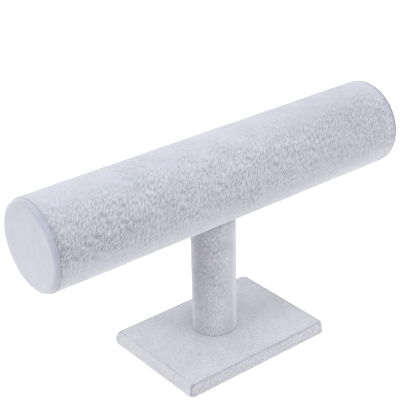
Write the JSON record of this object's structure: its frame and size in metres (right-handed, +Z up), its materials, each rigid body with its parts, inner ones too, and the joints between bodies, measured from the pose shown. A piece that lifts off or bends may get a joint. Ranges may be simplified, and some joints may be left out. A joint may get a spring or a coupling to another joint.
{
  "type": "jewelry stand",
  "caption": "T-shaped display stand: a velvet-covered round bar for bracelets and watches on a round post and a flat rectangular base.",
  "frame": {"origin": "on the table, under the middle of the bar along X and under the middle of the base along Y", "axes": "+Z up, X along the bar, the front of the base faces -Y"},
  "size_m": [0.24, 0.0716, 0.13],
  "materials": {
    "velvet": "pale lavender-grey crushed short-pile velvet",
    "card_tube": "brown spiral-wound card, matt",
    "timber": "bare pine, matt",
    "fibreboard": "bare medium-density fibreboard, matt",
    "steel": "zinc-plated steel, satin",
    "backing_card": "pale grey card, matt"
  },
  "bodies": {
    "root": {"bar_tube": "card_tube", "end_plug_left": "card_tube", "end_plug_right": "card_tube", "bar_cover": "velvet", "end_cover_left": "velvet", "end_cover_right": "velvet", "bar_block": "timber", "captive_nut": "steel", "tie_bolt": "steel", "post_tube": "card_tube", "post_cover": "velvet", "base_board": "fibreboard", "base_cover": "velvet", "base_backing": "backing_card"}
  },
  "joints": []
}
